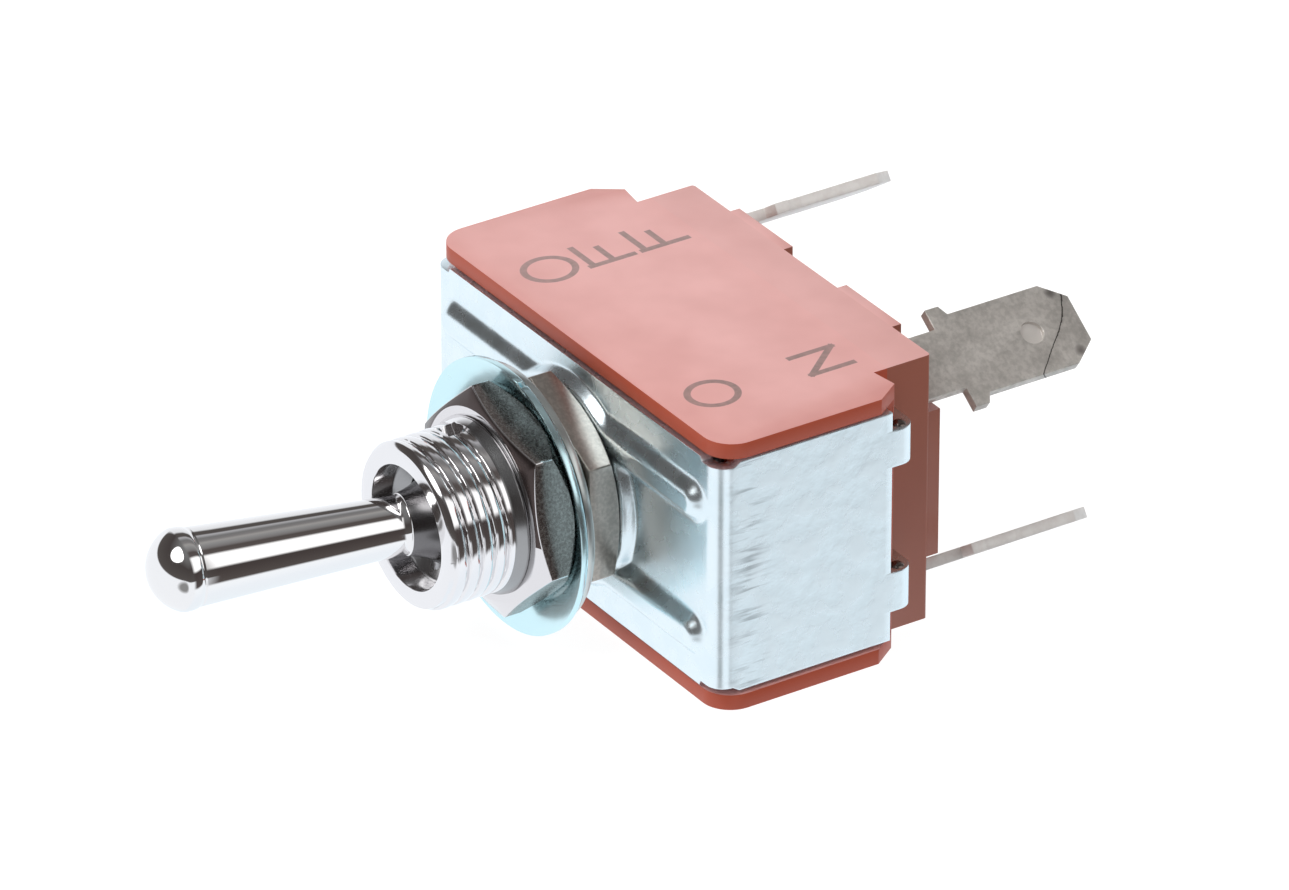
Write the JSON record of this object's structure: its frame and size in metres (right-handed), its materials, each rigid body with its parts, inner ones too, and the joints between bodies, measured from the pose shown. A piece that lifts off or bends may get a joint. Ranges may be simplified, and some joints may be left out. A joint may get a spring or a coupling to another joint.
{
  "type": "toggle switch",
  "caption": "Panel toggle switch: bat lever in a threaded bushing, folded steel frame round a moulded case, push-on blades.",
  "frame": {"origin": "on the bushing's axis at the front face of the frame's plate", "axes": "-Y runs out of the bushing, +X along the case towards ON, +Z is the printed face of the case"},
  "size_m": [0.036, 0.0647, 0.0206],
  "materials": {
    "moulded": "moulded thermoset, semi gloss",
    "zinc_sheet": "bright zinc plate",
    "bright_plate": "bright nickel plate",
    "nickel": "nickel plate, worn",
    "zinc_dark": "zinc plate",
    "zinc_pale": "pale zinc plate",
    "dark_plate": "dark bright plate",
    "lever_plate": "bright chrome plate",
    "steel": "ground",
    "fibre": "pressed fibre",
    "carrier": "moulded",
    "plunger": "moulded",
    "spring_wire": "drawn wire",
    "copper_alloy": "rolled",
    "silver": "silver face",
    "tinned": "tin plate, dull"
  },
  "bodies": {
    "housing": {"case": "moulded", "frame": "zinc_sheet", "bushing": "bright_plate", "hex_nut_back": "nickel", "lock_washer": "zinc_dark", "locking_ring": "zinc_pale", "hex_nut_front": "dark_plate", "pivot_pin": "steel", "insulating_liner": "fibre", "fixed_contact_top": "silver", "line_terminal_top": "tinned", "load_terminal_top": "tinned", "fixed_contact_bottom": "silver", "line_terminal_bottom": "tinned", "load_terminal_bottom": "tinned"},
    "lever": {"toggle_lever": "lever_plate", "actuator_carrier": "carrier", "spring_top": "spring_wire", "spring_bottom": "spring_wire"},
    "plunger_body_top": {"plunger_top": "plunger"},
    "rocker_body_top": {"rocker_top": "copper_alloy", "moving_contact_top": "silver"},
    "plunger_body_bottom": {"plunger_bottom": "plunger"},
    "rocker_body_bottom": {"rocker_bottom": "copper_alloy", "moving_contact_bottom": "silver"}
  },
  "joints": [
    {"name": "lever_swing", "type": "hinge", "parent": "housing", "child": "lever", "pos_m": [0, -0.0104, 0], "axis": [0, 0, 1], "range_deg": [0, 21]},
    {"name": "rocker_tip_top", "type": "hinge", "parent": "housing", "child": "rocker_body_top", "pos_m": [0, 0.01455, 0.00444], "axis": [0, 0, 1], "range_deg": [-16, 0]},
    {"name": "rocker_tip_bottom", "type": "hinge", "parent": "housing", "child": "rocker_body_bottom", "pos_m": [0, 0.01455, -0.00444], "axis": [0, 0, 1], "range_deg": [-16, 0]},
    {"name": "plunger_slide_top", "type": "slide", "parent": "lever", "child": "plunger_body_top", "axis": [0.1822, 0.9833, 0], "range_m": [-0.001, 0], "stiffness_N_per_m": 400, "springref_m": 0.0015, "deforming": ["spring_top"]},
    {"name": "plunger_slide_bottom", "type": "slide", "parent": "lever", "child": "plunger_body_bottom", "axis": [0.1822, 0.9833, 0], "range_m": [-0.001, 0], "stiffness_N_per_m": 400, "springref_m": 0.0015, "deforming": ["spring_bottom"]}
  ],
  "couplings": [
    {"joint": "rocker_tip_top", "follows": "lever_swing", "ratio": -0.7619},
    {"joint": "rocker_tip_bottom", "follows": "lever_swing", "ratio": -0.7619}
  ]
}
